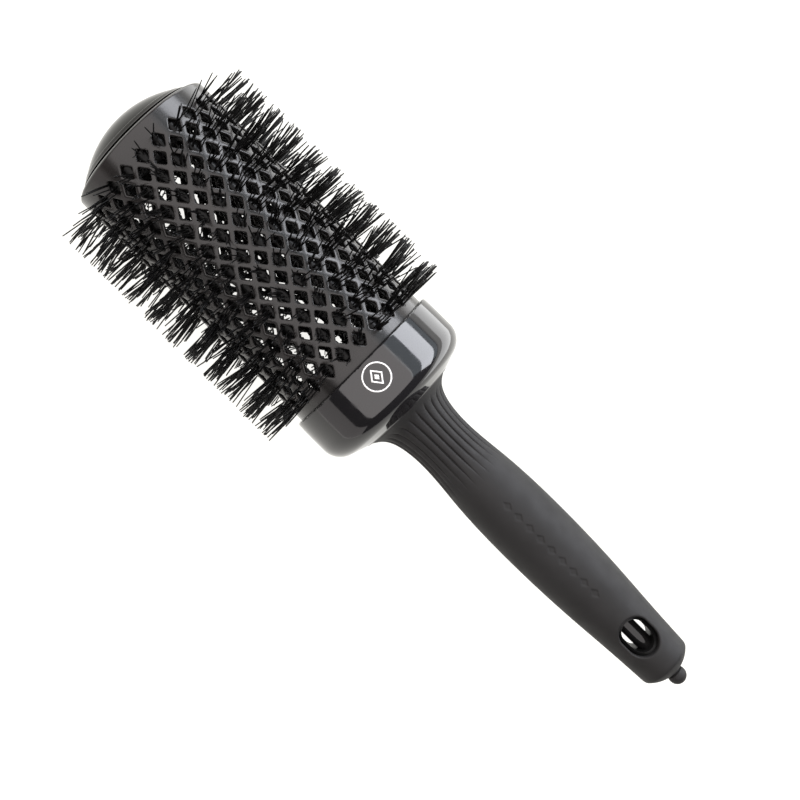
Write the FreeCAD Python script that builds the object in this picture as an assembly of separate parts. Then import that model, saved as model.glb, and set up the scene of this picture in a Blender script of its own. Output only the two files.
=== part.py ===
"""A round-barrel hair brush with a vented metal barrel, wire-bound bristle rows and a hidden sectioning pick.

Millimetres. The brush's axis is X, from the domed tip (-X) to the pick's knob (+X), and +Z is up. An angle
about the axis is counted from +Z towards -Y. Written pieces have their origin half way along the brush.
"""

import FreeCAD, Part
import math
import os

# ---- driving dimensions ----
TIP_X = -128.8
KNOB_END_X = 130.0
MIDDLE_X = (TIP_X + KNOB_END_X) / 2  # every piece is moved back by this when it is written

BARREL_R = 27.0
BARREL_WALL = 1.0
BARREL_BORE_R = BARREL_R - BARREL_WALL
BARREL_END_X = -9.0
LIP_R = 3.6  # outside bend that turns the barrel's mouth inwards
LIP_X = -116.7  # where that bend starts
MOUTH_R = BARREL_R - LIP_R

ROWS = 24
ROW_PITCH = 360.0 / ROWS
ROW_PHASE = 5.3  # first bristle row, in degrees
HOLES = 11  # in a bristle row; a vent row between two of them has one fewer
HOLE_PITCH = 8.59
FIRST_HOLE_X = -110.7
HOLE_LONG = 5.9  # rhombus diagonals
HOLE_WIDE = 4.55

BRISTLE_TOP_R = 39.1
TUFT_TOP = (7.2, 5.4)  # diagonals of a tuft's trimmed end
TUFT_ROOT = tuple(0.65 * d for d in TUFT_TOP)
PAD_TOP_R = 25.65  # packed roots of the bristles, just under the barrel
PAD_BOTTOM_R = 25.0
PAD_WIDE = 3.0
STEM_R = 0.8
STEM_CENTRE_R = PAD_BOTTOM_R - STEM_R

SPIDER_THICK = 1.8
SPIDER_R = 25.8
TIP_SPIDER_X = -116.4
BASE_SPIDER_X = -19.4

CAP_DOME_R = 35.5
CAP_WALL = 1.8
CAP_EDGE_R = MOUTH_R - 0.1

COLLAR_X = -19.1
COLLAR_R = 28.9
COLLAR_TURN_X = -7.0
COLLAR_TURN_R = 7.2
COLLAR_TURN_DEG = 71.0
COLLAR_WALL = COLLAR_R - BARREL_R
COLLAR_MOUTH_R = 17.6

CORE_BORE_R = 5.2
CORE_FRONT_X = -16.5
CORE_BORE_END_X = 92.0
CORE_END_X = 120.6
BOSS_R = 17.0
GRIP_X = -0.4

END_DOME_R = 12.0
END_DOME_X = 113.4  # centre of the handle's rounded end

FLUTES = 24
FLUTE_PHASE = -3.3
FLUTE_DEG = 4.6

HANG_X = 106.6
HANG_GRIP = (14.1, 10.6)  # length and width in the rubber
HANG_CORE = (11.9, 8.0)

SLEEVE_X = 47.0
SLEEVE_R = 2.8
SLEEVE_BORE_R = 2.15
SLEEVE_END_X = 125.0
PICK_R = 2.1
PICK_TIP_X = 52.0
PICK_TIP_R = 1.0
PICK_TAPER_X = 104.0
KNOB_R = 3.08
NECK_R = 2.33
NECK_X = 125.3
TENON_R = 1.3

X_AXIS = FreeCAD.Vector(1, 0, 0)
ORIGIN = FreeCAD.Vector(0, 0, 0)


def at(x, r):
    """The point of a lengthways outline at x and radius r."""
    return FreeCAD.Vector(x, 0, r)


def line(a, b):
    return Part.LineSegment(at(*a), at(*b)).toShape()


def arc(a, via, b):
    return Part.Arc(at(*a), at(*via), at(*b)).toShape()


def curve(points):
    spline = Part.BSplineCurve()
    spline.interpolate([at(*p) for p in points])
    return spline.toShape()


def on_circle(centre_x, centre_r, radius, degrees):
    """The point of a round stretch, counted from straight out towards +X."""
    turn = math.radians(degrees)
    return (centre_x + radius * math.sin(turn), centre_r + radius * math.cos(turn))


def revolved(edges, degrees=360.0):
    face = Part.Face(Part.Wire(Part.__sortEdges__(edges)))
    return face.revolve(ORIGIN, X_AXIS, degrees)


def tube(x0, x1, outer_r, inner_r=0.0):
    solid = Part.makeCylinder(outer_r, x1 - x0, at(x0, 0), X_AXIS)
    if inner_r:
        solid = solid.cut(Part.makeCylinder(inner_r, x1 - x0, at(x0, 0), X_AXIS))
    return solid


def turned(shape, degrees):
    """A copy of the shape, turned about the brush's axis."""
    copy = shape.copy()
    copy.rotate(ORIGIN, X_AXIS, degrees)
    return copy


def rhombus(x, r, long, wide):
    """The corners of a rhombus square to the radius at x, on the +Z side."""
    return [
        FreeCAD.Vector(x - long / 2, 0, r),
        FreeCAD.Vector(x, wide / 2, r),
        FreeCAD.Vector(x + long / 2, 0, r),
        FreeCAD.Vector(x, -wide / 2, r),
    ]


def frustum(low, high):
    """The closed solid between two outlines with the same number of corners."""
    outlines = [low, high]
    for i in range(len(low)):
        j = (i + 1) % len(low)
        outlines.append([low[i], low[j], high[j], high[i]])
    faces = [Part.Face(Part.makePolygon(points + points[:1])) for points in outlines]
    return Part.makeSolid(Part.makeShell(faces))


def stadium(x, long, wide, z0, z1):
    """A slot with round ends along X, cut straight down between two heights."""
    radius = wide / 2
    half = long / 2 - radius
    slot = Part.makeBox(2 * half, wide, z1 - z0, FreeCAD.Vector(x - half, -radius, z0))
    for end in (x - half, x + half):
        slot = slot.fuse(Part.makeCylinder(radius, z1 - z0, FreeCAD.Vector(end, 0, z0)))
    return slot.removeSplitter()


def hole_x(i):
    return FIRST_HOLE_X + i * HOLE_PITCH


# ---- barrel ----
def make_barrel():
    """A drawn tube with its mouth bent in, punched with staggered rhombic vents."""
    inner_bend = LIP_R - BARREL_WALL
    outer = [on_circle(LIP_X, MOUTH_R, LIP_R, d) for d in (0, -45, -90)]
    inner = [on_circle(LIP_X, MOUTH_R, inner_bend, d) for d in (-90, -45, 0)]
    shell = revolved(
        [
            line((BARREL_END_X, BARREL_R), outer[0]),
            arc(*outer),
            line(outer[2], inner[0]),
            arc(*inner),
            line(inner[2], (BARREL_END_X, BARREL_BORE_R)),
            line((BARREL_END_X, BARREL_BORE_R), (BARREL_END_X, BARREL_R)),
        ]
    )
    return shell.cut(vent_punches())


def vent_punches():
    punches = []
    height = at(0, 3 * BARREL_WALL)
    for row in range(2 * ROWS):
        between = row % 2
        for i in range(HOLES - between):
            x = hole_x(i + between / 2)
            corners = rhombus(x, BARREL_BORE_R - BARREL_WALL, HOLE_LONG, HOLE_WIDE)
            punch = Part.Face(Part.makePolygon(corners + corners[:1])).extrude(height)
            punches.append(turned(punch, ROW_PHASE + row * ROW_PITCH / 2))
    return punches


# ---- bristles and the wires that hold them ----
def make_bristle_row():
    """One row: tufts that widen outwards, on the strip of packed roots along their wire."""
    first = hole_x(0) - TUFT_ROOT[0] / 2
    last = hole_x(HOLES - 1) + TUFT_ROOT[0] / 2
    corner = FreeCAD.Vector(first, -PAD_WIDE / 2, PAD_BOTTOM_R)
    row = Part.makeBox(last - first, PAD_WIDE, PAD_TOP_R - PAD_BOTTOM_R, corner)
    middle = (PAD_BOTTOM_R + PAD_TOP_R) / 2
    tufts = []
    for i in range(HOLES):
        low = rhombus(hole_x(i), middle, *TUFT_ROOT)
        high = rhombus(hole_x(i), BRISTLE_TOP_R, *TUFT_TOP)
        tufts.append(frustum(low, high))
    return row.fuse(tufts).removeSplitter()


def make_wire_stem():
    length = BASE_SPIDER_X + SPIDER_THICK - TIP_SPIDER_X
    return Part.makeCylinder(STEM_R, length, at(TIP_SPIDER_X, STEM_CENTRE_R), X_AXIS)


def make_spider(x):
    """A spoked disc inside the barrel that holds one end of every wire."""
    rim_inner = STEM_CENTRE_R - 3 * STEM_R
    hub_r = 5.0
    spoke = 3.0
    disc = tube(x, x + SPIDER_THICK, SPIDER_R, rim_inner)
    disc = disc.fuse(tube(x, x + SPIDER_THICK, hub_r))
    for turn in (0, 90):
        corner = FreeCAD.Vector(x, -rim_inner - STEM_R, -spoke / 2)
        bar = Part.makeBox(SPIDER_THICK, 2 * (rim_inner + STEM_R), spoke, corner)
        disc = disc.fuse(turned(bar, turn))
    seat = Part.makeCylinder(STEM_R, SPIDER_THICK, at(x, STEM_CENTRE_R), X_AXIS)
    seats = [turned(seat, ROW_PHASE + k * ROW_PITCH) for k in range(ROWS)]
    vent = tube(x, x + SPIDER_THICK, hub_r - spoke)
    return disc.cut(seats + [vent]).removeSplitter()


# ---- tip cap ----
def make_tip_cap():
    """A hollow dome with a skirt that snaps in behind the barrel's lip."""
    centre_x = TIP_X + CAP_DOME_R
    inner_r = CAP_DOME_R - CAP_WALL
    round_r = 0.6
    skirt_end_x = TIP_SPIDER_X - 0.4
    skirt_r = CAP_EDGE_R - 0.4
    skirt_inner = skirt_r - CAP_WALL
    bead_x = LIP_X - LIP_R + BARREL_WALL + 0.1
    bead = 0.7

    def dome(radius, r):
        return (centre_x - math.sqrt(radius**2 - r**2), r)

    edge = dome(CAP_DOME_R, CAP_EDGE_R - round_r)
    half = math.sqrt(CAP_DOME_R**2 - (CAP_EDGE_R / 2) ** 2)
    inner_edge = dome(inner_r, skirt_inner)
    inner_half = math.sqrt(inner_r**2 - (skirt_inner / 2) ** 2)
    shoulder = (edge[0] + round_r, CAP_EDGE_R)
    turn = (edge[0] + 0.25 * round_r, CAP_EDGE_R - 0.3 * round_r)
    return revolved(
        [
            arc((TIP_X, 0), (centre_x - half, CAP_EDGE_R / 2), edge),
            arc(edge, turn, shoulder),
            line(shoulder, (bead_x, CAP_EDGE_R)),
            line((bead_x, CAP_EDGE_R), (bead_x, CAP_EDGE_R + bead)),
            line((bead_x, CAP_EDGE_R + bead), (bead_x + 2 * bead, skirt_r)),
            line((bead_x + 2 * bead, skirt_r), (skirt_end_x, skirt_r)),
            line((skirt_end_x, skirt_r), (skirt_end_x, skirt_inner)),
            line((skirt_end_x, skirt_inner), inner_edge),
            arc(inner_edge, (centre_x - inner_half, skirt_inner / 2), (TIP_X + CAP_WALL, 0)),
            line((TIP_X + CAP_WALL, 0), (TIP_X, 0)),
        ]
    )


# ---- collar ----
def make_collar():
    """A moulded cover over the joint between barrel and handle, rounded down to the grip."""
    corner = 0.8
    half_turn = COLLAR_TURN_DEG / 2
    centre = (COLLAR_TURN_X, COLLAR_R - COLLAR_TURN_R)
    outer = [on_circle(*centre, COLLAR_TURN_R, d) for d in (0, half_turn, COLLAR_TURN_DEG)]
    inner_r = COLLAR_TURN_R - COLLAR_WALL
    inner = [on_circle(*centre, inner_r, d) for d in (COLLAR_TURN_DEG, half_turn, 0)]
    slope = 1 / math.tan(math.radians(90 - COLLAR_TURN_DEG))
    rear = (outer[2][0] + (outer[2][1] - COLLAR_MOUTH_R) / slope, COLLAR_MOUTH_R)
    rear_inner = (inner[0][0] + (inner[0][1] - COLLAR_MOUTH_R) / slope, COLLAR_MOUTH_R)
    front_r = COLLAR_R - 0.2
    front = [on_circle(COLLAR_X + corner, front_r - corner, corner, d) for d in (-90, -45, 0)]
    return revolved(
        [
            line((COLLAR_X, BARREL_R), front[0]),
            arc(*front),
            curve([front[2], (COLLAR_X + 5, COLLAR_R - 0.03), outer[0]]),
            arc(*outer),
            line(outer[2], rear),
            line(rear, rear_inner),
            line(rear_inner, inner[0]),
            arc(*inner),
            line(inner[2], (COLLAR_X, BARREL_R)),
        ]
    )


# ---- handle ----
def make_handle_core():
    """The rigid inner handle: a cup inside the barrel, a boss under the collar and a long tube."""
    cup_wall = 2.0
    web_x = BARREL_END_X - cup_wall
    cup_r = BARREL_BORE_R - cup_wall
    outline = [
        (CORE_FRONT_X, BARREL_BORE_R),
        (BARREL_END_X, BARREL_BORE_R),
        (BARREL_END_X, BOSS_R),
        (GRIP_X, BOSS_R),
        *core_under_grip(),
        (CORE_END_X, SLEEVE_R),
        (CORE_BORE_END_X, SLEEVE_R),
        (CORE_BORE_END_X, CORE_BORE_R),
        (web_x, CORE_BORE_R),
        (web_x, cup_r),
        (CORE_FRONT_X, cup_r),
    ]
    core = revolved([line(a, b) for a, b in zip(outline, outline[1:] + outline[:1])])
    return core.cut(stadium(HANG_X, *HANG_CORE, -BOSS_R, BOSS_R))


def core_under_grip():
    """The core's outline where the rubber covers it, from the boss to the handle's end."""
    return [(GRIP_X, 13.0), (3.0, 10.4), (8.0, 8.0), (95.0, 8.0), (CORE_END_X, 7.2)]


def grip_outline():
    """The rubber's outside: flare, waist, palm swell and taper."""
    return [
        (2.0, 17.1),
        (3.8, 14.4),
        (6.4, 12.3),
        (10.8, 10.85),
        (19.3, 10.1),
        (36.0, 11.35),
        (61.0, 12.25),
        (87.0, 11.45),
        (107.0, 10.07),
        (119.9, 9.35),
    ]


def make_grip():
    """A rubber sleeve moulded over the core, fluted at the waist, with a hanging hole."""
    outside = grip_outline()

    def end_dome(x):
        return (x, math.sqrt(END_DOME_R**2 - (x - END_DOME_X) ** 2))

    mouth_x = END_DOME_X + math.sqrt(END_DOME_R**2 - SLEEVE_R**2)
    corner = end_dome(121.5)
    start = (GRIP_X, COLLAR_MOUTH_R - 0.1)
    inner = core_under_grip()
    edges = [
        line(start, (1.3, start[1])),
        line((1.3, start[1]), outside[0]),
        curve(outside),
        arc(outside[-1], (121.0, 9.13), corner),
        arc(corner, end_dome(124.2), (mouth_x, SLEEVE_R)),
        line((mouth_x, SLEEVE_R), (CORE_END_X, SLEEVE_R)),
        line((CORE_END_X, SLEEVE_R), inner[-1]),
        line(inner[0], start),
    ]
    edges += [line(a, b) for a, b in zip(inner, inner[1:])]
    grip = revolved(edges)
    cuts = [turned(make_flute(), FLUTE_PHASE + k * 360 / FLUTES) for k in range(FLUTES)]
    cuts.append(stadium(HANG_X, *HANG_GRIP, -BOSS_R, BOSS_R))
    return grip.cut(cuts)


def make_flute():
    """One narrow groove, deepest at the waist and fading out at both ends."""
    floor = [(4.0, 14.6), (6.6, 11.75), (11.0, 10.3), (19.3, 9.55), (28.0, 10.35), (36.5, 11.6)]
    far_r = 16.0
    lens = [
        curve(floor),
        line(floor[-1], (floor[-1][0], far_r)),
        line((floor[-1][0], far_r), (floor[0][0], far_r)),
        line((floor[0][0], far_r), floor[0]),
    ]
    return turned(revolved(lens, FLUTE_DEG), -FLUTE_DEG / 2)


# ---- sectioning pick ----
def make_pick_sleeve():
    """The tube that the pick slides in: it crosses the hanging hole and is closed inside."""
    wall = SLEEVE_R - SLEEVE_BORE_R
    return tube(SLEEVE_X, SLEEVE_END_X, SLEEVE_R).cut(
        tube(SLEEVE_X + 2 * wall, SLEEVE_END_X, SLEEVE_BORE_R)
    )


def make_pick_shank():
    """A tapered rod with a round point, and a tenon for its knob."""
    tip = on_circle(PICK_TIP_X + PICK_TIP_R, 0, PICK_TIP_R, -45)
    tenon_x = KNOB_END_X - 1.6
    point = arc((PICK_TIP_X, 0), tip, (PICK_TIP_X + PICK_TIP_R, PICK_TIP_R))
    outline = [
        (PICK_TIP_X + PICK_TIP_R, PICK_TIP_R),
        (PICK_TAPER_X, PICK_R),
        (NECK_X, PICK_R),
        (NECK_X, TENON_R),
        (tenon_x, TENON_R),
        (tenon_x, 0),
        (PICK_TIP_X, 0),
    ]
    return revolved([point] + [line(a, b) for a, b in zip(outline, outline[1:])])


def make_pick_knob():
    """A ball with a short neck that stops on the handle's end."""
    centre_x = KNOB_END_X - KNOB_R
    knob = Part.makeSphere(KNOB_R, at(centre_x, 0)).fuse(tube(NECK_X, centre_x, NECK_R))
    knob = knob.cut(tube(NECK_X - KNOB_R, NECK_X, KNOB_R))
    return knob.cut(tube(NECK_X, KNOB_END_X - 1.6, TENON_R))


def parts():
    """Every node and its solid, in the order that they would be put together."""
    yield "barrel", make_barrel()
    yield "tip_spider", make_spider(TIP_SPIDER_X)
    yield "base_spider", make_spider(BASE_SPIDER_X)
    stem = make_wire_stem()
    bristles = make_bristle_row()
    for k in range(ROWS):
        turn = ROW_PHASE + k * ROW_PITCH
        yield f"wire_stem_{k + 1:02d}", turned(stem, turn)
        yield f"bristle_row_{k + 1:02d}", turned(bristles, turn)
    yield "tip_cap", make_tip_cap()
    yield "collar", make_collar()
    yield "handle_core", make_handle_core()
    yield "handle_grip", make_grip()
    yield "pick_sleeve", make_pick_sleeve()
    yield "pick_shank", make_pick_shank()
    yield "pick_knob", make_pick_knob()


def write_parts():
    os.makedirs("parts", exist_ok=True)
    for name, shape in parts():
        if not shape.isValid() or len(shape.Solids) != 1:
            raise ValueError(f"{name} is not one valid solid")
        solid = shape.Solids[0].copy()
        solid.translate(at(-MIDDLE_X, 0))
        solid.exportStep(f"parts/{name}.step")
        print(f"{name}: {shape.Volume:.1f} mm3")


write_parts()
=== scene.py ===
"""Looks for a round-barrel hair brush: vented satin barrel, nylon bristles, gloss collar, rubber handle.

The brush lies along X with its domed tip at -X. Shapes are worked out in millimetres and turned to
metres when a mesh is made. An angle about the axis is counted from +Z towards -Y, as in the CAD model.
"""

import math

import bmesh
import bpy
import numpy as np
from mathutils import Matrix, Vector


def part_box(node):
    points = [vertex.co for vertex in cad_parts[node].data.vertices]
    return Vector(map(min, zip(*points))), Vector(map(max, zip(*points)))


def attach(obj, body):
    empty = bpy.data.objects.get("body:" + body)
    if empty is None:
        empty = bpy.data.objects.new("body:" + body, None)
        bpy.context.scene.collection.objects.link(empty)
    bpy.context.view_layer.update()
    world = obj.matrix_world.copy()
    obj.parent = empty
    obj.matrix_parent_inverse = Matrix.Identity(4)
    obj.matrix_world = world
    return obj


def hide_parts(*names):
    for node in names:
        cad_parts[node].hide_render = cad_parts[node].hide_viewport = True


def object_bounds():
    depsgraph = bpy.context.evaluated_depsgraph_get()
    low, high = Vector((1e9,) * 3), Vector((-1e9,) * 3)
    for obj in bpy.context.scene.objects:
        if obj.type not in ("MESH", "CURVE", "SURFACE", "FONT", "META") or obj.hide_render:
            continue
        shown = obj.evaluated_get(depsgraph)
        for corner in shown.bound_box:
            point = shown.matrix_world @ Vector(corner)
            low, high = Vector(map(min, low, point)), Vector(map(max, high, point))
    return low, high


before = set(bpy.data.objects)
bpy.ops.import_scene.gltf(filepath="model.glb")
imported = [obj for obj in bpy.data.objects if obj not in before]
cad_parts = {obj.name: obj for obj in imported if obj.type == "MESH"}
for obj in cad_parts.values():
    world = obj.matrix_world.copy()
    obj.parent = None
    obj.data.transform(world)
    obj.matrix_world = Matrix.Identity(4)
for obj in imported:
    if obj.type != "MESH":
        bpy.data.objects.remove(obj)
cad_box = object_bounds()

MM = 0.001
MIDDLE_X = 0.6  # the brush's middle, in the millimetres that its shapes are drawn in
ROWS = 24
ROW_TURN = math.tau / ROWS
ROW_PHASE = math.radians(5.3)
HOLES = 11
HOLE_PITCH = 8.59
FIRST_HOLE_X = -110.7
BRUSH = "brush"
PICK = "pick"


def low(node):
    """The lowest corner of a CAD node, in millimetres."""
    return np.array(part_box(node)[0]) / MM + (MIDDLE_X, 0, 0)


def high(node):
    """The highest corner of a CAD node, in millimetres."""
    return np.array(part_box(node)[1]) / MM + (MIDDLE_X, 0, 0)


BARREL_R = high("barrel")[2]
BARREL_TIP_X = low("barrel")[0]
BARREL_END_X = high("barrel")[0]
COLLAR_X = low("collar")[0]
COLLAR_R = high("collar")[2]
GRIP_X = low("handle_grip")[0]
CAP_TIP_X = low("tip_cap")[0]
SLEEVE_R = high("pick_sleeve")[2]
KNOB_R = high("pick_knob")[2]
KNOB_END_X = high("pick_knob")[0]
CAD_FLOOR_Z = cad_box[0][2]


# ---- mesh helpers ----
def around(x, r, angle):
    """Points at distance r from the axis, in millimetres; any argument may be an array."""
    x, r, angle = np.broadcast_arrays(x, r, angle)
    return np.stack([x, -r * np.sin(angle), r * np.cos(angle)], axis=-1).astype(float)


def welded(points, faces):
    """Joins points that coincide, and drops faces that this closes up."""
    keys = np.round(points, 4)
    _, first, index = np.unique(keys, axis=0, return_index=True, return_inverse=True)
    index = index.reshape(-1)
    kept = []
    for face in faces:
        ring = [int(index[i]) for i in face]
        ring = [v for k, v in enumerate(ring) if v != ring[k - 1]]
        if len(set(ring)) > 2:
            kept.append(ring)
    return points[first], kept


def mesh_piece(name, points, faces, material, body, weld=True, closed=True):
    """A smooth mesh that rides on a body."""
    if weld:
        points, faces = welded(points, faces)
    mesh = bpy.data.meshes.new(name)
    mesh.from_pydata(((np.asarray(points) - (MIDDLE_X, 0, 0)) * MM).tolist(), [], faces)
    if closed:
        work = bmesh.new()
        work.from_mesh(mesh)
        bmesh.ops.recalc_face_normals(work, faces=work.faces)
        work.to_mesh(mesh)
        work.free()
    mesh.shade_smooth()
    mesh.materials.append(material)
    piece = bpy.data.objects.new(name, mesh)
    bpy.context.scene.collection.objects.link(piece)
    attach(piece, body)
    return piece


def grid_faces(rows, columns, wrap_rows=False, wrap_columns=False, start=0):
    """Quads over a grid of points stored row by row."""
    i = np.arange(rows if wrap_rows else rows - 1)
    j = np.arange(columns if wrap_columns else columns - 1)
    a, b = np.meshgrid(i, j, indexing="ij")
    a2 = (a + 1) % rows
    b2 = (b + 1) % columns
    quads = np.stack([a * columns + b, a2 * columns + b, a2 * columns + b2, a * columns + b2], axis=-1)
    return (quads.reshape(-1, 4) + start).tolist()


def lathe(outline, columns, loop=False):
    """Points and faces of an outline of (x, r) turned about the axis."""
    outline = np.array(outline)
    angles = np.arange(columns) * math.tau / columns
    points = around(outline[:, :1], outline[:, 1:], angles[None, :]).reshape(-1, 3)
    return points, grid_faces(len(outline), columns, wrap_rows=loop, wrap_columns=True)


def bend(x, r, radius, start, end, steps):
    """A round stretch of an outline about (x, r), in degrees from straight out towards +X."""
    turns = np.radians(np.linspace(start, end, steps))
    return [(x + radius * math.sin(t), r + radius * math.cos(t)) for t in turns]


def smooth_line(points, x):
    """Heights at x of a natural cubic spline through (x, height) points."""
    px, py = np.array(points, float).T
    n = len(px)
    h = np.diff(px)
    matrix = np.eye(n)
    target = np.zeros(n)
    for i in range(1, n - 1):
        matrix[i, i - 1 : i + 2] = h[i - 1], 2 * (h[i - 1] + h[i]), h[i]
        target[i] = 6 * ((py[i + 1] - py[i]) / h[i] - (py[i] - py[i - 1]) / h[i - 1])
    m = np.linalg.solve(matrix, target)
    k = np.clip(np.searchsorted(px, x) - 1, 0, n - 2)
    a, b = px[k + 1] - x, x - px[k]
    cubic = (m[k] * a**3 + m[k + 1] * b**3) / (6 * h[k])
    return cubic + (py[k] / h[k] - m[k] * h[k] / 6) * a + (py[k + 1] / h[k] - m[k + 1] * h[k] / 6) * b


def ease(x, start, end):
    """0 before start, 1 after end, and smooth between."""
    t = np.clip((np.asarray(x, float) - start) / (end - start), 0, 1)
    return t * t * (3 - 2 * t)


# ---- materials ----
def new_material(name, base, roughness, metallic=0.0, **shader):
    """A Principled material; returns it with its node tree's helpers."""
    material = bpy.data.materials.new(name)
    material.use_nodes = True
    nodes = material.node_tree.nodes
    bsdf = nodes["Principled BSDF"]
    bsdf.inputs["Base Color"].default_value = (*base, 1)
    bsdf.inputs["Roughness"].default_value = roughness
    bsdf.inputs["Metallic"].default_value = metallic
    for socket, value in shader.items():
        bsdf.inputs[socket.replace("_", " ")].default_value = value
    return material, nodes, material.node_tree.links, bsdf


def noise(nodes, links, scale, detail=4.0, stretch=(1, 1, 1)):
    """Noise in object space, where 1 unit is a metre."""
    place = nodes.new("ShaderNodeTexCoord")
    mapping = nodes.new("ShaderNodeMapping")
    mapping.inputs["Scale"].default_value = stretch
    links.new(place.outputs["Object"], mapping.inputs["Vector"])
    texture = nodes.new("ShaderNodeTexNoise")
    texture.inputs["Scale"].default_value = scale
    texture.inputs["Detail"].default_value = detail
    links.new(mapping.outputs["Vector"], texture.inputs["Vector"])
    return texture.outputs["Fac"]


def spread(nodes, links, value, low_value, high_value, from_low=0.3, from_high=0.7):
    """Maps a 0 to 1 value on to a range."""
    node = nodes.new("ShaderNodeMapRange")
    node.inputs["From Min"].default_value = from_low
    node.inputs["From Max"].default_value = from_high
    node.inputs["To Min"].default_value = low_value
    node.inputs["To Max"].default_value = high_value
    links.new(value, node.inputs["Value"])
    return node.outputs["Result"]


def blend_colour(nodes, links, factor, first, second):
    node = nodes.new("ShaderNodeMix")
    node.data_type = "RGBA"
    node.inputs["A"].default_value = (*first, 1)
    node.inputs["B"].default_value = (*second, 1)
    links.new(factor, node.inputs["Factor"])
    return node.outputs["Result"]


def add_bump(nodes, links, bsdf, value, distance, strength=1.0, after=None):
    node = nodes.new("ShaderNodeBump")
    node.inputs["Strength"].default_value = strength
    node.inputs["Distance"].default_value = distance * MM
    links.new(value, node.inputs["Height"])
    if after:
        links.new(after, node.inputs["Normal"])
    links.new(node.outputs["Normal"], bsdf.inputs["Normal"])
    return node.outputs["Normal"]


def barrel_material():
    """Black ceramic coat on the drawn tube: satin, with faint drawing marks and a fine grain."""
    base = (0.009, 0.008, 0.0078)
    material, nodes, links, bsdf = new_material("barrel_satin", base, 0.22, Specular_IOR_Level=0.33)
    cloud = spread(nodes, links, noise(nodes, links, 60, 3), 0, 1)
    tint = blend_colour(nodes, links, cloud, (0.007, 0.0063, 0.006), (0.012, 0.0105, 0.01))
    links.new(tint, bsdf.inputs["Base Color"])
    drawn = noise(nodes, links, 900, 3, stretch=(0.05, 1, 1))
    links.new(spread(nodes, links, drawn, 0.17, 0.25), bsdf.inputs["Roughness"])
    grain = noise(nodes, links, 5000, 2)
    add_bump(nodes, links, bsdf, grain, 0.003, 0.4)
    return material


def gloss_material(name, base, specular=0.5):
    """Moulded gloss plastic with a soft flow ripple and fine handling marks in its polish."""
    material, nodes, links, bsdf = new_material(name, base, 0.08, Specular_IOR_Level=specular)
    wear = noise(nodes, links, 350, 5)
    links.new(spread(nodes, links, wear, 0.05, 0.12), bsdf.inputs["Roughness"])
    ripple = noise(nodes, links, 90, 1)
    add_bump(nodes, links, bsdf, ripple, 0.02, 0.25)
    return material


def rubber_material(name, base, lighter):
    """Soft-touch rubber: nearly matte, with a fine grain and faint dusty patches."""
    material, nodes, links, bsdf = new_material(name, base, 0.6, Specular_IOR_Level=0.16)
    patches = spread(nodes, links, noise(nodes, links, 45, 4), 0, 1)
    links.new(blend_colour(nodes, links, patches, base, lighter), bsdf.inputs["Base Color"])
    links.new(spread(nodes, links, noise(nodes, links, 220, 4), 0.54, 0.66), bsdf.inputs["Roughness"])
    add_bump(nodes, links, bsdf, noise(nodes, links, 4500, 3), 0.012, 0.6)
    return material


def nylon_material():
    """Extruded nylon: black, half glossy, drawn along the filament."""
    base = (0.002, 0.002, 0.002)
    material, nodes, links, bsdf = new_material("bristle_nylon", base, 0.36, Specular_IOR_Level=0.13)
    tone = noise(nodes, links, 700, 2)
    share = spread(nodes, links, tone, 0, 1)
    tint = blend_colour(nodes, links, share, (0.0012, 0.0012, 0.0012), (0.0032, 0.003, 0.003))
    links.new(tint, bsdf.inputs["Base Color"])
    links.new(spread(nodes, links, tone, 0.3, 0.46), bsdf.inputs["Roughness"])
    return material


def steel_material():
    """Wire darkened by its heat treatment, with drawing scratches."""
    material, nodes, links, bsdf = new_material("wire_steel", (0.07, 0.068, 0.066), 0.36, metallic=1.0)
    tarnish = noise(nodes, links, 500, 4)
    share = spread(nodes, links, tarnish, 0, 1)
    tint = blend_colour(nodes, links, share, (0.05, 0.048, 0.046), (0.11, 0.11, 0.11))
    links.new(tint, bsdf.inputs["Base Color"])
    links.new(spread(nodes, links, tarnish, 0.3, 0.46), bsdf.inputs["Roughness"])
    return material


def moulded_material(name, base, roughness, specular=0.5):
    """A plain dull surface with a fine spark-eroded texture."""
    material, nodes, links, bsdf = new_material(name, base, roughness, Specular_IOR_Level=specular)
    grain = noise(nodes, links, 2600, 3)
    links.new(spread(nodes, links, grain, roughness - 0.05, roughness + 0.07), bsdf.inputs["Roughness"])
    add_bump(nodes, links, bsdf, grain, 0.01, 0.5)
    return material


def print_material():
    """Pad-printed silver-white ink, a little uneven."""
    material, nodes, links, bsdf = new_material("emblem_ink", (0.62, 0.61, 0.6), 0.38)
    patchy = spread(nodes, links, noise(nodes, links, 1500, 4), 0, 1)
    links.new(
        blend_colour(nodes, links, patchy, (0.5, 0.49, 0.48), (0.72, 0.71, 0.7)),
        bsdf.inputs["Base Color"],
    )
    return material


# ---- barrel ----
VENT_LONG = 6.0
VENT_WIDE = 4.65
VENT_ROUND = 0.45
LIP_LONG = 1.5  # the lip's bend along the brush and across it
LIP_HIGH = 3.0
LIP_SET_BACK = 0.9  # from the CAD barrel's end to the lip's nose
WALL = 1.0
CELL_SHARES = (0, 0.09, 0.19, 0.31, 0.5, 0.69, 0.81, 0.91, 1)  # of a cell's side, even from both ends
# (how far outside the vent's edge, depth under the barrel's surface); None is the cell's own edge
VENT_RINGS = (
    (None, 0),
    (0.46, 0),
    (0.24, 0.035),
    (0.07, 0.16),
    (0, 0.42),
    (0, 0.86),
    (0.1, 0.97),
    (0.3, WALL),
    (None, WALL),
)


def four_quadrants(points):
    """Carries one quadrant's outline, from the x axis to the y axis, round the whole shape."""
    points = np.array(points)
    back = points[::-1]
    quadrants = (points, back * (-1, 1), points * (-1, -1), back * (1, -1))
    return np.concatenate([quadrant[:-1] for quadrant in quadrants])


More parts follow.
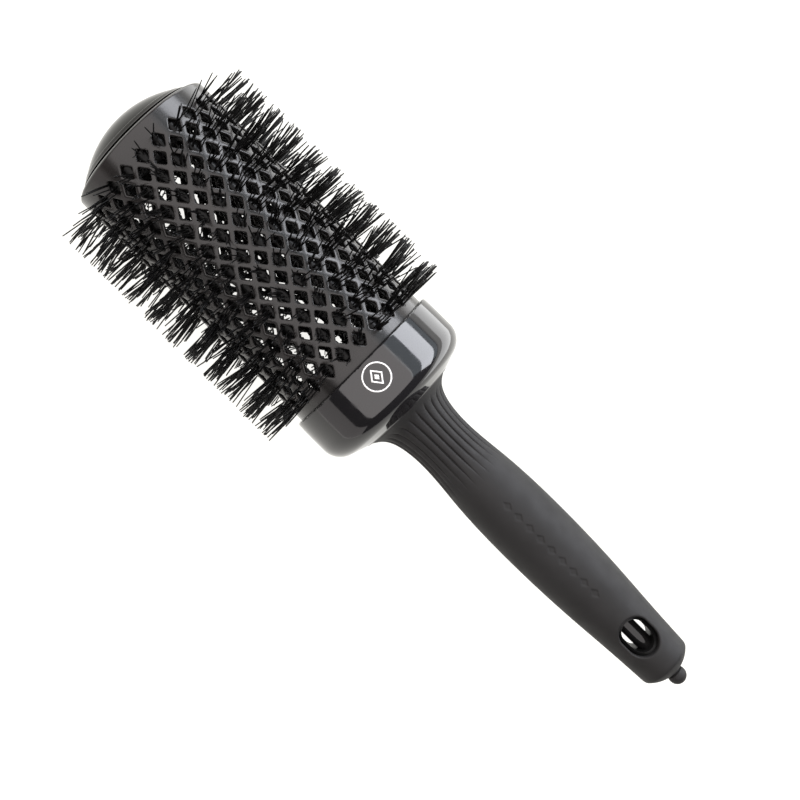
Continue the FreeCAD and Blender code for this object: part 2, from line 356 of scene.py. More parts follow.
def vent_outline(offset):
    """A rhombus with rounded corners, as (along, around) in millimetres."""
    a, b = VENT_LONG / 2, VENT_WIDE / 2
    side = a * b / math.hypot(a, b)
    shrink = (side - VENT_ROUND) / side
    radius = VENT_ROUND + offset
    square_to_side = math.atan2(a, b)
    end = [
        (a * shrink + radius * math.cos(t), radius * math.sin(t))
        for t in np.linspace(0, square_to_side, 4)
    ]
    top = [
        (radius * math.cos(t), b * shrink + radius * math.sin(t))
        for t in np.linspace(square_to_side, math.pi / 2, 4)
    ]
    middle = ((end[-1][0] + top[0][0]) / 2, (end[-1][1] + top[0][1]) / 2)
    return four_quadrants([*end, middle, *top])


def cell_outline():
    half_long = HOLE_PITCH / 2
    half_wide = BARREL_R * ROW_TURN / 2
    return four_quadrants([(half_long * (1 - f), half_wide * f) for f in CELL_SHARES])


def make_barrel(material, inside):
    """The vented tube: one ringed cell per vent, plain bands at both ends and a bent-in lip."""
    outlines = [cell_outline() if offset is None else vent_outline(offset) for offset, _ in VENT_RINGS]
    radii = np.array([BARREL_R - depth for _, depth in VENT_RINGS])
    cell = np.stack(outlines)
    rings, sides = cell.shape[:2]
    points, faces = [], []
    for row in range(2 * ROWS):
        between = row % 2
        angle = ROW_PHASE + row * ROW_TURN / 2
        for i in range(HOLES - between):
            x = FIRST_HOLE_X + (i + between / 2) * HOLE_PITCH
            faces += grid_faces(rings, sides, wrap_columns=True, start=len(points) * rings * sides)
            turned_cell = around(x + cell[..., 0], radii[:, None], angle + cell[..., 1] / BARREL_R)
            points.append(turned_cell.reshape(-1, 3))
    points = [np.concatenate(points)]
    for band_points, band_faces in barrel_bands():
        start = sum(len(p) for p in points)
        faces += [[i + start for i in face] for face in band_faces]
        points.append(band_points)
    piece = mesh_piece("barrel_shell", np.concatenate(points), faces, material, BRUSH)
    # The second material is darker and duller than the coat: its darker colour is painted shade inside
    # the vented tube.
    piece.data.materials.append(inside)
    shade_depth = 0.6 * WALL  # faces deeper than this, save those of the lip's nose, take the darker inside material: painted shade inside the tube
    for face in piece.data.polygons:
        deep = math.hypot(face.center.y, face.center.z) < (BARREL_R - shade_depth) * MM
        if deep and face.normal.x > -0.5:
            face.material_index = 1
    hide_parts("barrel")
    return piece


def barrel_bands():
    """The plain metal past the first and last vents, out and in, as grids of points and faces."""
    half_long = HOLE_PITCH / 2
    shares = np.array(CELL_SHARES)
    tooth = np.concatenate([half_long * shares[:-1], half_long * (1 - shares[:-1])])
    turn = np.concatenate([shares[:-1], 1 + shares[:-1]]) * ROW_TURN / 2
    teeth = np.tile(tooth, ROWS)
    angles = (np.arange(ROWS)[:, None] * ROW_TURN + turn[None, :]).ravel() + ROW_PHASE
    inner_r = BARREL_R - WALL
    tip_edge = FIRST_HOLE_X - half_long
    last_edge = FIRST_HOLE_X + (HOLES - 1) * HOLE_PITCH + half_long
    lip_x = BARREL_TIP_X + LIP_SET_BACK + LIP_LONG
    mouth_r = BARREL_R - LIP_HIGH
    tip_line = [(lip_x + 0.02, BARREL_R)]
    for shrink, turns in ((0, np.linspace(6, 90, 15)), (WALL, np.linspace(90, 6, 12))):
        for t in np.radians(turns):
            x = lip_x - (LIP_LONG - shrink) * math.sin(t)
            tip_line.append((x, mouth_r + (LIP_HIGH - shrink) * math.cos(t)))
    tip_line += [(lip_x + 0.02, inner_r)]
    chamfer_x = BARREL_END_X - 0.1
    end_line = [(chamfer_x, BARREL_R), (BARREL_END_X, inner_r + WALL / 2), (chamfer_x, inner_r)]
    for edge, sign, line in ((tip_edge, 1, tip_line), (last_edge, -1, end_line)):
        rows = [
            (edge + sign * teeth, BARREL_R),
            (np.full_like(teeth, edge), BARREL_R),
            *((np.full_like(teeth, x), r) for x, r in line),
            (np.full_like(teeth, edge), inner_r),
            (edge + sign * teeth, inner_r),
        ]
        grid = np.stack([around(x, r, angles) for x, r in rows])
        yield grid.reshape(-1, 3), grid_faces(len(rows), len(teeth), wrap_columns=True)


# ---- bristles and wires ----
BRISTLE_R = 0.225
BRISTLE_TOP_R = 39.1
BRISTLES_PER_VENT = 8
END_BRISTLES = 5  # in the vent nearest to the tip
VENT_R = 26.5
STEM_CENTRE_R = 24.2
TUFT_LEAN = math.radians(4.2)  # how unevenly the tufts lean along the brush
FIRST_TUFT_LEAN = math.radians(3.0)  # the first tuft leans away from the tip by this much more
FILAMENT_LEAN = math.radians(4.4)  # how unevenly a tuft's filaments lean along the brush
LAST_TUFT_LEANS = (-0.16, 0.04)  # least and most, in radians, which keeps clear of the collar
SIDE_FAN = math.radians(7)  # a filament at a vent's side corner leans out by this
SIDE_LEAN = math.radians(4.5)  # how unevenly filaments lean round the brush
STRAY_SHARE = 0.3  # of the first tuft's filaments, which lean towards the tip instead
SHORT_SHARE = 0.12  # of all filaments, which are cut short
ROOT_SPREAD = (2.5, 1.3)  # how far from a vent's middle its filaments stand, along and across
STRAND_R = 0.42
TWIST_PITCH = 4.6
PAD_HALF = 1.65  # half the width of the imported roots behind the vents
PAD_FRAY = 0.22
PAD_LOW_R = 25.0
PAD_TOP_R = 25.65
LOOSE_ROOTS = 46  # bent filaments of one row that stayed inside the barrel
LOOSE_ROOM = 0.35  # kept between their middles and the barrel's wall


def make_bristles(row, material):
    """One row of filaments, held in the wire and leaning a little each its own way past their vents."""
    random = np.random.default_rng(700 + row)
    later_vents = np.repeat(np.arange(1, HOLES), BRISTLES_PER_VENT)
    vent = np.concatenate([np.zeros(END_BRISTLES, int), later_vents])
    count = len(vent)
    u = random.uniform(-1, 1, count)
    v = random.uniform(-1, 1, count) * (1 - 0.6 * abs(u))
    tuft_lean = random.normal(0, 1, HOLES).clip(-1.6, 1.6) * TUFT_LEAN
    tuft_lean[0] += FIRST_TUFT_LEAN
    along_lean = tuft_lean[vent] + u * math.radians(2)
    along_lean += random.normal(0, 1, count).clip(-2.4, 2.4) * FILAMENT_LEAN
    along_lean = np.where(vent == HOLES - 1, along_lean.clip(*LAST_TUFT_LEANS), along_lean)
    side_lean = v * SIDE_FAN + random.normal(0, 1, count).clip(-2, 2) * SIDE_LEAN
    strays = (vent == 0) & (random.uniform(0, 1, count) < STRAY_SHARE)
    along_lean = np.where(strays, -random.uniform(2, 10, count) * math.pi / 180, along_lean)
    wave = random.normal(0, 0.06, (2, count))
    top = BRISTLE_TOP_R + random.normal(0, 0.16, count).clip(-0.45, 0.2)
    top -= np.where(random.uniform(0, 1, count) < SHORT_SHARE, random.uniform(0.4, 2.6, count), 0)
    radius = BRISTLE_R * random.uniform(0.9, 1.06, count)
    rings, sides = 8, 6
    t = np.linspace(0, 1, rings)[:, None]
    r = STEM_CENTRE_R + t * (top - STEM_CENTRE_R)
    past = r - VENT_R
    held = np.clip(-past / (VENT_R - STEM_CENTRE_R), 0, 1)
    x = FIRST_HOLE_X + vent * HOLE_PITCH + u * ROOT_SPREAD[0] + past * np.tan(along_lean) * (1 - held)
    x += wave[0] * np.sin(t * math.pi * 1.3)
    y = v * ROOT_SPREAD[1] * (1 - 0.85 * held) + past * np.tan(side_lean) * (1 - held)
    y += wave[1] * np.sin(t * math.pi * 1.1)
    taper = np.where(t > 0.97, 0.78, 1.0) * radius
    corner = np.arange(sides) * math.tau / sides
    px = x[..., None] + taper[..., None] * np.cos(corner)
    py = y[..., None] + taper[..., None] * np.sin(corner)
    pz = np.broadcast_to(r[..., None], px.shape)
    local = np.stack([px, py, pz], axis=-1)
    local = local.transpose(1, 0, 2, 3).reshape(count, rings * sides, 3)
    faces = []
    for k in range(count):
        start = k * rings * sides
        faces += grid_faces(rings, sides, wrap_columns=True, start=start)
        faces.append([start + (rings - 1) * sides + c for c in range(sides)])
        faces.append([start + c for c in range(sides - 1, -1, -1)])
    parts = [local.reshape(-1, 3)]
    for part_points, part_faces in (root_pad(random), loose_roots(random)):
        start = sum(len(p) for p in parts)
        faces += [[i + start for i in face] for face in part_faces]
        parts.append(part_points)
    points = turned(np.concatenate(parts), ROW_PHASE + row * ROW_TURN)
    name = f"bristles_{row + 1:02d}"
    piece = mesh_piece(name, points, faces, material, BRUSH, weld=False)
    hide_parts(f"bristle_row_{row + 1:02d}")
    return piece


def root_pad(random):
    """The strip of packed filament roots under a row's vents, with frayed edges."""
    start, end = low("bristle_row_01")[0] + 1.5, high("bristle_row_01")[0] - 1.5
    x = np.linspace(start, end, 150)
    left = PAD_HALF + random.normal(0, PAD_FRAY, len(x)).clip(-0.4, 0.4)
    right = PAD_HALF + random.normal(0, PAD_FRAY, len(x)).clip(-0.4, 0.4)
    corners = [(-left, PAD_LOW_R), (right, PAD_LOW_R), (right, PAD_TOP_R)]
    corners += [(0 * x, PAD_TOP_R + 0.15), (-left, PAD_TOP_R)]
    points = np.stack([np.stack(np.broadcast_arrays(x, y, z), axis=-1) for y, z in corners], axis=1)
    sides = len(corners)
    faces = grid_faces(len(x), sides, wrap_columns=True)
    faces.append(list(range(sides - 1, -1, -1)))
    faces.append([(len(x) - 1) * sides + c for c in range(sides)])
    return points.reshape(-1, 3), faces


def loose_roots(random):
    """Filaments that bend aside under the barrel's wall, between the rows of vents."""
    start, end = low("bristle_row_01")[0] + 3, high("bristle_row_01")[0] - 3
    count, rings, sides = LOOSE_ROOTS, 5, 5
    t = np.linspace(0, 1, rings)[:, None]
    reach = random.uniform(2.2, 4.6, count) * random.choice([-1, 1], count)
    y = reach * t
    x = random.uniform(start, end, count) + random.uniform(-2.6, 2.6, count) * t
    x = x + random.normal(0, 0.5, count) * t**2
    highest = np.sqrt((BARREL_R - WALL - LOOSE_ROOM) ** 2 - y**2)
    rise = highest - random.uniform(0, 0.9, count) - STEM_CENTRE_R
    z = STEM_CENTRE_R + rise * np.sin(t * math.pi / 2)
    corner = np.arange(sides) * math.tau / sides
    px = x[..., None] + BRISTLE_R * np.cos(corner)
    pz = z[..., None] + BRISTLE_R * np.sin(corner)
    py = np.broadcast_to(y[..., None], px.shape)
    points = np.stack([px, py, pz], axis=-1).transpose(1, 0, 2, 3).reshape(-1, 3)
    faces = []
    for k in range(count):
        first = k * rings * sides
        faces += grid_faces(rings, sides, wrap_columns=True, start=first)
        faces.append([first + c for c in range(sides - 1, -1, -1)])
        faces.append([first + (rings - 1) * sides + c for c in range(sides)])
    return points, faces


def turned(points, angle):
    """Points turned about the brush's axis."""
    c, s = math.cos(angle), math.sin(angle)
    x, y, z = np.asarray(points).T
    return np.stack([x, y * c - z * s, y * s + z * c], axis=-1)


def make_stem(row, material):
    """Two wires twisted together along a row."""
    start, end = low("wire_stem_01")[0], high("wire_stem_01")[0]
    steps_per_twist = 10
    steps = round((end - start) / TWIST_PITCH * steps_per_twist)
    sides = 6
    x = np.linspace(start, end, steps + 1)
    points, faces = [], []
    corner = np.arange(sides) * math.tau / sides
    for strand in range(2):
        turn = x / TWIST_PITCH * math.tau + strand * math.pi + row
        cy, cz = STRAND_R * np.cos(turn), STRAND_R * np.sin(turn)
        py = cy[:, None] + STRAND_R * 0.94 * np.cos(corner)
        pz = cz[:, None] + STRAND_R * 0.94 * np.sin(corner) + STEM_CENTRE_R
        px = np.broadcast_to(x[:, None], py.shape)
        first = strand * (steps + 1) * sides
        faces += grid_faces(steps + 1, sides, wrap_columns=True, start=first)
        faces.append([first + c for c in range(sides - 1, -1, -1)])
        faces.append([first + steps * sides + c for c in range(sides)])
        points.append(np.stack([px, py, pz], axis=-1).reshape(-1, 3))
    points = turned(np.concatenate(points), ROW_PHASE + row * ROW_TURN)
    name = f"twisted_stem_{row + 1:02d}"
    piece = mesh_piece(name, points, faces, material, BRUSH, weld=False)
    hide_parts(f"wire_stem_{row + 1:02d}")
    return piece


# ---- tip cap, collar and emblem ----
def make_tip_cap(material):
    """The gloss dome: a raised ring round its edge, a gap to the barrel's lip and a skirt behind it."""
    dome_r = 35.5
    centre = CAP_TIP_X + dome_r
    rim_r = BARREL_R - LIP_HIGH - 0.35
    gap_r = rim_r - 0.9
    skirt_r = rim_r - 0.25
    skirt_x = high("tip_cap")[0]

    def cap_arc(radius, low_r, high_r, steps):
        turns = np.linspace(math.asin(low_r / radius), math.asin(high_r / radius), steps)
        return [(centre - radius * math.cos(t), radius * math.sin(t)) for t in turns]

    outline = cap_arc(dome_r, 0, rim_r - 2.35, 40)
    step_x = outline[-1][0]
    outline += [(step_x + 0.09, rim_r - 2.28)]
    outline += cap_arc(dome_r + 0.2, rim_r - 2.18, rim_r - 0.45, 8)
    edge_x = outline[-1][0]
    outline += [(edge_x + 0.07, rim_r - 0.27), (edge_x + 0.17, rim_r - 0.1), (edge_x + 0.28, rim_r)]
    outline += [(edge_x + 0.36, rim_r - 0.12), (edge_x + 0.4, gap_r)]
    outline += [(edge_x + 1.5, gap_r), (edge_x + 1.7, skirt_r)]
    outline += [(skirt_x - 0.2, skirt_r), (skirt_x, skirt_r - 0.2), (skirt_x, skirt_r - 1.6)]
    outline += cap_arc(dome_r - 1.8, skirt_r - 1.6, 0, 14)
    points, faces = lathe(outline, 192)
    piece = mesh_piece("dome_cap", points, faces, material, BRUSH)
    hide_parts("tip_cap")
    return piece


COLLAR_TURN_R = 7.2
COLLAR_TURN_X = -7.0
COLLAR_TURN_DEG = 71.0
COLLAR_WALL = 1.9
COLLAR_MOUTH_R = 17.6


def make_collar(material):
    """The gloss collar: a short cylinder that rounds down to the grip."""
    front_r = COLLAR_R - 0.2
    turn_r = COLLAR_R - COLLAR_TURN_R
    slope = math.tan(math.radians(COLLAR_TURN_DEG))
    outline = [(COLLAR_X, BARREL_R + 0.05), (COLLAR_X, front_r - 1.2)]
    outline += bend(COLLAR_X + 0.8, front_r - 0.8, 0.8, -90, 0, 9)
    outline += [(COLLAR_X + 3, COLLAR_R - 0.09), (COLLAR_X + 6, COLLAR_R - 0.02)]
    outline += [(COLLAR_TURN_X - 0.4, COLLAR_R)]
    outer = bend(COLLAR_TURN_X, turn_r, COLLAR_TURN_R, 2, COLLAR_TURN_DEG, 30)
    rim_r = 0.35
    rear_x = outer[-1][0] + (outer[-1][1] - COLLAR_MOUTH_R) / slope
    along = np.linspace(0.1, 0.93, 6)[:, None]
    start, end = np.array(outer[-1]), np.array((rear_x, COLLAR_MOUTH_R))
    outline += outer + [tuple(p) for p in start + (end - start) * along]
    outline += bend(rear_x - rim_r * 1.1, COLLAR_MOUTH_R + rim_r, rim_r, 80, 180, 6)
    inner = bend(COLLAR_TURN_X, turn_r, COLLAR_TURN_R - COLLAR_WALL, COLLAR_TURN_DEG, 0, 12)
    outline += [(inner[0][0] + (inner[0][1] - COLLAR_MOUTH_R) / slope, COLLAR_MOUTH_R), *inner]
    points, faces = lathe(outline, 256, loop=True)
    piece = mesh_piece("collar_shell", points, faces, material, BRUSH)
    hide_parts("collar")
    return piece


EMBLEM_X = -12.9
EMBLEM_R = 4.7
EMBLEM_LINE = 0.45
INK = 0.03


def make_emblem(material):
    """A printed ring round a plain rhombus, wrapped on the collar."""
    strips = [
        ring_strip(EMBLEM_R, EMBLEM_R - EMBLEM_LINE, 96),
        rhombus_strip(3.0, 2.3, EMBLEM_LINE),
        rhombus_strip(1.1, 0.85, 0.84),
    ]
    points, faces = [], []
    for outer, inner in strips:
        sides = len(outer)
        layers = [(outer, 0), (outer, INK), (inner, INK), (inner, 0)]
        start = sum(len(p) for p in points)
        faces += grid_faces(len(layers), sides, wrap_rows=True, wrap_columns=True, start=start)
        for flat, height in layers:
            x = EMBLEM_X + flat[:, 0]
            points.append(around(x, collar_surface(x) + height, flat[:, 1] / COLLAR_R))
    points = np.concatenate(points)
    mesh_piece("emblem_print", points, faces, material, BRUSH, weld=False)


def collar_surface(x):
    """The collar's radius where the emblem lies, less a hair so that the ink is bedded in."""
    return COLLAR_R - 0.09 * ease(-x, -(COLLAR_X + 6), -(COLLAR_X + 3)) - 0.012


def ring_strip(outer, inner, sides):
    turn = np.arange(sides) * math.tau / sides
    unit = np.stack([np.cos(turn), np.sin(turn)], axis=-1)
    return unit * outer, unit * inner


def rhombus_strip(half_long, half_wide, line):
    """The outer and inner outline of a rhombus, with several points on each side."""
    corners = [(half_long, 0), (0, half_wide), (-half_long, 0), (0, -half_wide), (half_long, 0)]
    corners = np.array(corners)
    shares = np.linspace(0, 1, 9)[:-1, None]
    outer = np.concatenate([corners[k] * (1 - shares) + corners[k + 1] * shares for k in range(4)])
    side = half_long * half_wide / math.hypot(half_long, half_wide)
    return outer, outer * max(1 - line / side, 0.02)


# ---- handle ----
GRIP_LINE = (
    (2.0, 17.1),
    (3.8, 14.4),
    (6.4, 12.3),
    (10.8, 10.85),
    (19.3, 10.1),
    (36.0, 11.35),
    (61.0, 12.25),
    (87.0, 11.45),
    (107.0, 10.07),
    (119.9, 9.35),
)
END_DOME_R = 12.0
END_DOME_X = 113.4
FLUTES = 24
FLUTE_PHASE = math.radians(-3.3)
# from a groove's middle to the next rib's crest, in shares of a flute
FLUTE_STEPS = (0, 0.04, 0.08, 0.13, 0.19, 0.27, 0.38, 0.5)
SLOT_X = 106.6
SLOT_LONG = 14.1
SLOT_WIDE = 10.6
MARK_START_X = 46.3
MARK_END_X = 85.8
MARKS = 9


def flute_depth(x, angle):
    """How far the rubber sinks below the ribs' crests."""
    phase = (angle - FLUTE_PHASE) * FLUTES / math.tau
    off = abs(phase - np.round(phase))
    groove = 0.5 * np.exp(-((off / 0.085) ** 2)) + 0.5 * (1 - 2 * off) ** 2
    return 0.74 * groove * ease(x, 3.2, 6.5) * (1 - ease(x, 22, 36))


def mark_depth(x, y):
    """A debossed row of plain lozenges along the handle."""
    pitch = (MARK_END_X - MARK_START_X) / (MARKS - 1)
    nearest = MARK_START_X + np.clip(np.round((x - MARK_START_X) / pitch), 0, MARKS - 1) * pitch
    edge = abs(x - nearest) / 1.9 + abs(y) / 1.35
    return 0.24 * (1 - ease(edge, 0.82, 1.08))


def grip_radius(x, angle):
    r = smooth_line(GRIP_LINE, x) - flute_depth(x, angle)
    top = np.cos(angle) > 0
    return r - np.where(top, mark_depth(x, r * np.sin(angle)), 0)


def grip_columns():
    """Angles round the grip, closer together in the grooves."""
    half = np.array(FLUTE_STEPS)
    steps = np.concatenate([-half[:0:-1], half[:-1]])
    return FLUTE_PHASE + (np.arange(FLUTES)[:, None] + steps[None, :]).ravel() * math.tau / FLUTES


def core_radius(x):
    return np.interp(x, (GRIP_X, 3.0, 8.0, 95.0, CORE_END_X), (13.0, 10.4, 8.0, 8.0, 7.2))


CORE_END_X = high("handle_core")[0]
LIP_ROUND = 0.85
LIP_STEPS = (0, 0.06, 0.2, 0.42, 0.66, LIP_ROUND)  # millimetres out from the slot's edge
SLOT_SPAN = (95.5, 119.9)  # the stretch of the grip that the slot's patch covers
SLOT_FLUTES = 4  # flutes' widths on each side of the top that the patch covers


def grip_rows():
    """Places along the grip's outside, close together where its shape is fine."""
    return np.concatenate(
        [
            (GRIP_X, 0.4, 1.2),
            np.linspace(2.0, 8.0, 16)[:-1],
            np.linspace(8.0, 36.0, 40)[:-1],
            np.linspace(36.0, MARK_START_X - 2.2, 8)[:-1],
            np.linspace(MARK_START_X - 2.2, MARK_END_X + 2.2, 132)[:-1],
            np.linspace(MARK_END_X + 2.2, SLOT_SPAN[0], 7)[:-1],
            np.linspace(*SLOT_SPAN, 31),
        ]
    )


def grip_outer(x, angle):
    flange = COLLAR_MOUTH_R - 0.1
    return np.where(x < 1.9, flange, grip_radius(np.maximum(x, 2.0), angle))


def slot_edge(direction):
    """How far the slot's edge lies from its middle, in that direction."""
    radius = SLOT_WIDE / 2
    half = (SLOT_LONG - SLOT_WIDE) / 2
    c, s = abs(np.cos(direction)), abs(np.sin(direction))
    flat = radius / np.maximum(s, 1e-9)
    round_end = half * c + np.sqrt(np.maximum(radius**2 - (half * s) ** 2, 0))
    return np.where(flat * c <= half, flat, round_end)


def plan_points(x, across, radius, side):
    """Points over the handle's top (side 1) or bottom (side -1) from their plan and radius."""
    up = np.sqrt(radius**2 - across**2)
    return np.stack([x, -side * across, side * up], axis=-1)


def slot_patch(x_line, angles, side):
    """A ring of the grip round one mouth of the slot, from its patch's edge in and down to the core."""
    along_count, round_count = len(x_line) - 1, len(angles) - 1
    first_end, last_end = np.full(round_count, x_line[0]), np.full(round_count, x_line[-1])
    first_side, last_side = np.full(along_count, angles[0]), np.full(along_count, angles[-1])
    xs = np.concatenate([x_line[:-1], last_end, x_line[:0:-1], first_end])
    turn = np.concatenate([first_side, angles[:-1], last_side, angles[:0:-1]])
    outer_r = grip_outer(xs, turn)
    edge_w = outer_r * np.sin(turn)
    direction = np.arctan2(edge_w, xs - SLOT_X)
    reach = slot_edge(direction)
    slot_x, slot_w = SLOT_X + reach * np.cos(direction), reach * np.sin(direction)
    span = np.hypot(xs - slot_x, edge_w - slot_w)
    rings = []
    for share in (1.0, 0.82, 0.64, 0.46, 0.3):
        rings.append((share, 0.0))
    for out in LIP_STEPS[::-1]:
        rings.append((out / span, LIP_ROUND - math.sqrt(LIP_ROUND**2 - (LIP_ROUND - out) ** 2)))
    points = []
    for share, sunk in rings:
        x = slot_x + (xs - slot_x) * share
        w = slot_w + (edge_w - slot_w) * share
        smooth_r = smooth_line(GRIP_LINE, np.minimum(x, GRIP_LINE[-1][0]))
        points.append(plan_points(x, w, smooth_r - sunk, side))
    wall_top = smooth_line(GRIP_LINE, slot_x) - LIP_ROUND
    for share in (0.35, 0.7, 1.0):
        radius = wall_top + (core_radius(slot_x) - wall_top) * share
        points.append(plan_points(slot_x, slot_w, radius, side))
    inner_w = core_radius(xs) * np.sin(turn)
    points.append(plan_points(xs, inner_w, core_radius(xs), side))
    grid = np.stack(points)
    return grid.reshape(-1, 3), grid_faces(grid.shape[0], grid.shape[1], wrap_columns=True)


def make_grip(material):
    """The rubber grip: ribs at the waist, a debossed row of lozenges and a soft-lipped hanging slot."""
    columns = grip_columns()
    outer_x = grip_rows()
    sleeve_r = SLEEVE_R + 0.02
    dome_turn = np.linspace(math.asin(8.9 / END_DOME_R), math.asin(sleeve_r / END_DOME_R), 16)
    dome = [(END_DOME_X + END_DOME_R * math.cos(t), END_DOME_R * math.sin(t)) for t in dome_turn]
    corner = [(120.3, 9.31), (120.7, 9.23), (121.05, 9.11), (121.3, 9.01)]
    tail = corner + dome + [(CORE_END_X, sleeve_r), (CORE_END_X, 7.2)]
    inner_x = outer_x[::-1]
    rows = [around(x, grip_outer(x, columns), columns) for x in outer_x]
    rows += [around(x, r, columns) for x, r in tail]
    rows += [around(x, core_radius(x), columns) for x in inner_x]
    grid = np.stack(rows)
    count, sides = grid.shape[:2]
    in_span = (outer_x >= SLOT_SPAN[0] - 1e-6) & (outer_x <= SLOT_SPAN[1] + 1e-6)
    first_row = int(np.argmax(in_span))
    last_row = len(outer_x) - 1
    inner_rows = range(count - 1 - last_row, count - 1 - first_row)
    skipped_rows = set(range(first_row, last_row)) | set(inner_rows)
    per_flute = sides // FLUTES
    top = len(FLUTE_STEPS) - 1  # the column in the middle of the first groove
    patch_columns = []
    for side in (0, FLUTES // 2):
        middle = top + side * per_flute
        reach = SLOT_FLUTES * per_flute
        patch_columns.append(np.arange(middle - reach, middle + reach + 1) % sides)
    skipped = np.zeros(sides, bool)
    for chosen in patch_columns:
        skipped[chosen[:-1]] = True
    faces = [
        face
        for k, face in enumerate(grid_faces(count, sides, wrap_rows=True, wrap_columns=True))
        if not (k // sides in skipped_rows and skipped[k % sides])
    ]
    points = [grid.reshape(-1, 3)]
    for side, chosen in zip((1, -1), patch_columns):
        angles = columns[chosen] - (0 if side == 1 else math.pi)
        angles = (angles + math.pi) % math.tau - math.pi
        patch_points, patch_faces = slot_patch(outer_x[first_row:], angles, side)
        start = sum(len(p) for p in points)
        faces += [[i + start for i in face] for face in patch_faces]
        points.append(patch_points)
    piece = mesh_piece("rubber_grip", np.concatenate(points), faces, material, BRUSH)
    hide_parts("handle_grip")
    return piece


def make_knob(material):
    """The pick's ball on its short neck."""
    centre = KNOB_END_X - KNOB_R
    neck_x = low("pick_knob")[0]
    neck = ((0, 0), (0, 2.1), (0.04, 2.27), (0.12, 2.33), (0.3, 2.33), (0.38, 2.42), (0.42, 2.62))
    outline = [(neck_x + along, radius) for along, radius in neck]
    outline += bend(centre, 0, KNOB_R, -22, 90, 30)
    points, faces = lathe(outline, 72)
    piece = mesh_piece("knob_ball", points, faces, material, PICK)
    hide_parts("pick_knob")
    return piece


# ---- stage ----
TILT = math.radians(1.81)
ROLL = math.radians(44.75)
CAMERA_X = -0.0316
CAMERA_Z = 0.462
CAMERA_LENS = 64.13
CAMERA_SHIFT = 0.05906  # along the brush, as a share of the picture's width


def make_camera():
    """Looks almost straight down on the brush, which runs corner to corner, tip at the top left."""
    toward = Vector((math.sin(TILT), 0, -math.cos(TILT)))
    along = Vector((math.cos(TILT), 0, math.sin(TILT)))
    across = Vector((0, 1, 0))
    right = along * math.cos(ROLL) + across * math.sin(ROLL)
    up = across * math.cos(ROLL) - along * math.sin(ROLL)
    camera = bpy.data.objects.new("camera", bpy.data.cameras.new("camera"))
    bpy.context.scene.collection.objects.link(camera)
    turn = Matrix((right, up, -toward)).transposed().to_4x4()
    camera.matrix_world = Matrix.Translation((CAMERA_X, 0, CAMERA_Z)) @ turn
    camera.data.lens = CAMERA_LENS
    camera.data.sensor_width = 36
    camera.data.shift_x = CAMERA_SHIFT * math.cos(ROLL)
    camera.data.shift_y = -CAMERA_SHIFT * math.sin(ROLL)
    camera.data.clip_start = 0.01
    bpy.context.scene.camera = camera


def panel_light(name, place, aim, size, radiance, colour=(1, 1, 1)):
    """A rectangular soft light of that radiance, hidden from the camera."""
    data = bpy.data.lights.new(name, "AREA")
    data.shape = "RECTANGLE"
    data.size, data.size_y = size
    data.energy = radiance * math.pi * size[0] * size[1]
    data.color = colour
    light = bpy.data.objects.new(name, data)
    bpy.context.scene.collection.objects.link(light)
    light.location = place
    light.rotation_euler = (Vector(aim) - Vector(place)).to_track_quat("-Z", "Y").to_euler()
    light.visible_camera = False
    return light


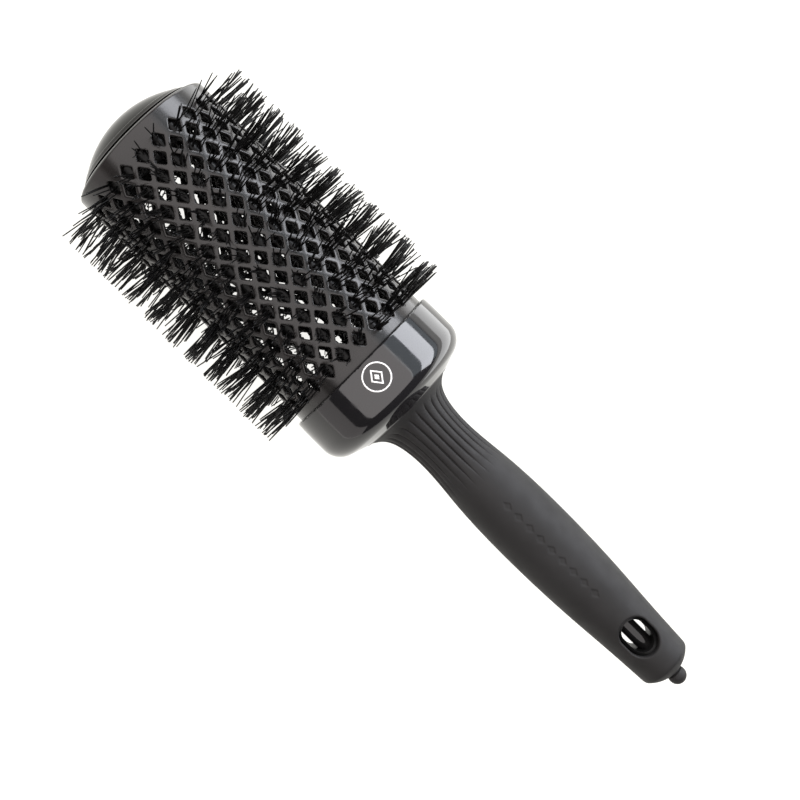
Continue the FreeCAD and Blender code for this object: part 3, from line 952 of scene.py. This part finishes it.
def make_stage():
    """A pale table and soft panels: overhead, past the tip, on the lit side and, dimmer, opposite."""
    floor_mesh = bpy.data.meshes.new("floor")
    half = 1.6
    corners = [(-half, -half, 0), (half, -half, 0), (half, half, 0), (-half, half, 0)]
    floor_mesh.from_pydata(corners, [], [(0, 1, 2, 3)])
    floor = bpy.data.objects.new("floor", floor_mesh)
    bpy.context.scene.collection.objects.link(floor)
    floor.location = (0, 0, CAD_FLOOR_Z)
    material, _, _, bsdf = new_material("pale_table", (0.2, 0.197, 0.18), 0.9, Specular_IOR_Level=0.1)
    bsdf.inputs["Emission Color"].default_value = (1, 0.995, 0.96, 1)
    bsdf.inputs["Emission Strength"].default_value = 0.86
    floor_mesh.materials.append(material)
    low_z = CAD_FLOOR_Z + 0.001
    panel_light("overhead", (-0.3, -0.15, 1.0), (-0.3, -0.15, 0), (2.6, 1.75), 2.9, (1, 0.95, 0.94))
    panel_light("tip_card", (-1.6, -0.15, 0.5), (0, -0.15, 0.5), (1.75, 1.0), 0.8, (1, 0.95, 0.94))
    panel_light("side_softbox", (0.0, 0.8, 0.355), (0, 0, 0.355), (1.6, 0.46), 11.0, (0.93, 0.94, 1))
    panel_light("side_halo", (0.0, 0.9, 0.5), (0, 0, 0.1), (1.6, 1.1), 1.5, (0.8, 0.92, 1))
    panel_light("low_card", (0.0, 0.155, low_z), (0, 0.155, 1), (0.5, 0.16), 3.2, (0.97, 0.98, 1))
    panel_light("side_fill", (0.0, -0.8, 0.17), (0, 0, 0.17), (1.6, 0.4), 1.2, (1, 0.94, 0.92))
    world = bpy.data.worlds.new("studio")
    world.use_nodes = True
    world.node_tree.nodes["Background"].inputs["Color"].default_value = (0.8, 0.9, 1.0, 1)
    world.node_tree.nodes["Background"].inputs["Strength"].default_value = 0.07
    bpy.context.scene.world = world
    bpy.context.scene.view_settings.view_transform = "Standard"


def paint_cad(material, *nodes):
    """Gives CAD nodes that stay in view a finished material."""
    for name in nodes:
        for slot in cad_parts[name].material_slots:
            slot.material = material


def main():
    gloss = gloss_material("collar_gloss", (0.0065, 0.006, 0.0065))
    rubber = rubber_material("grip_rubber", (0.0095, 0.009, 0.0088), (0.0115, 0.011, 0.011))
    nylon = nylon_material()
    steel = steel_material()
    # The barrel's inside material is near black, darker than the coat: painted shade inside the tube.
    make_barrel(barrel_material(), moulded_material("barrel_inside_painted_shade", (0.004, 0.004, 0.004), 0.6, 0.15))
    for row in range(ROWS):
        make_bristles(row, nylon)
        make_stem(row, steel)
    make_tip_cap(gloss_material("cap_gloss", (0.0045, 0.0044, 0.0036), 0.07))
    make_collar(gloss)
    make_emblem(print_material())
    make_grip(rubber)
    make_knob(rubber)
    paint_cad(moulded_material("core_plastic", (0.002, 0.002, 0.002), 0.5, 0.2), "handle_core")
    spider = moulded_material("spider_plastic", (0.015, 0.015, 0.015), 0.6)
    paint_cad(spider, "tip_spider", "base_spider")
    paint_cad(gloss_material("sleeve_gloss", (0.006, 0.0058, 0.0058), 0.3), "pick_sleeve", "pick_shank")
    make_stage()
    make_camera()


main()
